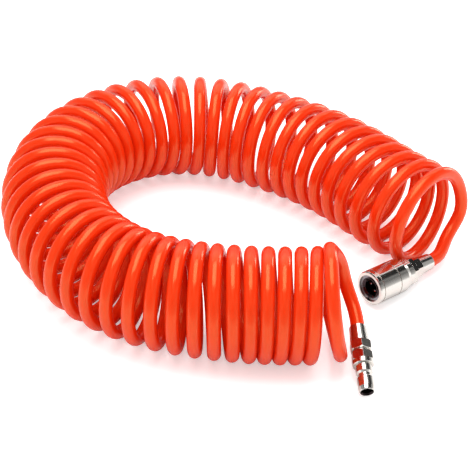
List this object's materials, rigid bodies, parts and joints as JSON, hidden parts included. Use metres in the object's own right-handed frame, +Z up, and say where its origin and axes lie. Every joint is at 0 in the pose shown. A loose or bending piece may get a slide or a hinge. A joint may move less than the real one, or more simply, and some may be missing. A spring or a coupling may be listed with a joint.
{
  "type": "coiled air hose",
  "caption": "Self-storing coiled air hose lying bent on a flat surface, with a sleeve-lock quick coupler on one end and a matching male plug on the other.",
  "frame": {"origin": "middle of the footprint's bounding box, on the surface the hose lies on", "axes": "+Z up; the coil lies bent round in a C that opens towards +X, and the front run, the plug and the coupler are at -Y"},
  "size_m": [0.366, 0.3442, 0.0892],
  "materials": {
    "hose": "glossy extruded polyurethane",
    "nickel_plate": "bright nickel plate",
    "spring_steel": "drawn wire",
    "ball_steel": "polished",
    "nitrile_rubber": "matt",
    "brass": "turned"
  },
  "bodies": {
    "hose_and_fittings": {"hose_coil": "hose", "hose_tail_plug": "hose", "hose_tail_coupler": "hose", "hose_end_plug": "hose", "hose_end_coupler": "hose", "socket_body": "nickel_plate", "sleeve_spring": "spring_steel", "stop_ring": "spring_steel", "plug_seal": "nitrile_rubber", "valve_spring": "spring_steel", "valve_guide": "brass", "hose_adapter": "nickel_plate", "adapter_seal": "nitrile_rubber", "coupler_nut": "nickel_plate", "plug_body": "nickel_plate", "plug_nut": "nickel_plate"},
    "sleeve": {"lock_sleeve": "nickel_plate"},
    "valve": {"valve_poppet": "brass", "valve_seal": "nitrile_rubber"},
    "ball_1": {"lock_ball_1": "ball_steel"},
    "ball_2": {"lock_ball_2": "ball_steel"},
    "ball_3": {"lock_ball_3": "ball_steel"},
    "ball_4": {"lock_ball_4": "ball_steel"},
    "ball_5": {"lock_ball_5": "ball_steel"},
    "ball_6": {"lock_ball_6": "ball_steel"}
  },
  "joints": [
    {"name": "sleeve_slide", "type": "slide", "parent": "hose_and_fittings", "child": "sleeve", "axis": [0.7637, 0.6408, -0.0785], "range_m": [0, 0.005], "stiffness_N_per_m": 410, "springref_m": -0.015, "deforming": ["sleeve_spring"]},
    {"name": "valve_slide", "type": "slide", "parent": "hose_and_fittings", "child": "valve", "axis": [0.7637, 0.6408, -0.0785], "range_m": [0, 0.0035], "stiffness_N_per_m": 2700, "springref_m": -0.002, "deforming": ["valve_spring"]},
    {"name": "ball_1_slide", "type": "slide", "parent": "hose_and_fittings", "child": "ball_1", "axis": [-0.1924, 0.1099, -0.9751], "range_m": [0, 0.0011]},
    {"name": "ball_2_slide", "type": "slide", "parent": "hose_and_fittings", "child": "ball_2", "axis": [-0.6299, 0.713, -0.3081], "range_m": [0, 0.0011]},
    {"name": "ball_3_slide", "type": "slide", "parent": "hose_and_fittings", "child": "ball_3", "axis": [-0.4375, 0.603, 0.6671], "range_m": [0, 0.0011]},
    {"name": "ball_4_slide", "type": "slide", "parent": "hose_and_fittings", "child": "ball_4", "axis": [0.1924, -0.1099, 0.9751], "range_m": [0, 0.0011]},
    {"name": "ball_5_slide", "type": "slide", "parent": "hose_and_fittings", "child": "ball_5", "axis": [0.6299, -0.713, 0.3081], "range_m": [0, 0.0011]},
    {"name": "ball_6_slide", "type": "slide", "parent": "hose_and_fittings", "child": "ball_6", "axis": [0.4375, -0.603, -0.6671], "range_m": [0, 0.0011]}
  ],
  "couplings": [
    {"joint": "ball_1_slide", "follows": "sleeve_slide", "ratio": 0.22},
    {"joint": "ball_2_slide", "follows": "sleeve_slide", "ratio": 0.22},
    {"joint": "ball_3_slide", "follows": "sleeve_slide", "ratio": 0.22},
    {"joint": "ball_4_slide", "follows": "sleeve_slide", "ratio": 0.22},
    {"joint": "ball_5_slide", "follows": "sleeve_slide", "ratio": 0.22},
    {"joint": "ball_6_slide", "follows": "sleeve_slide", "ratio": 0.22}
  ]
}
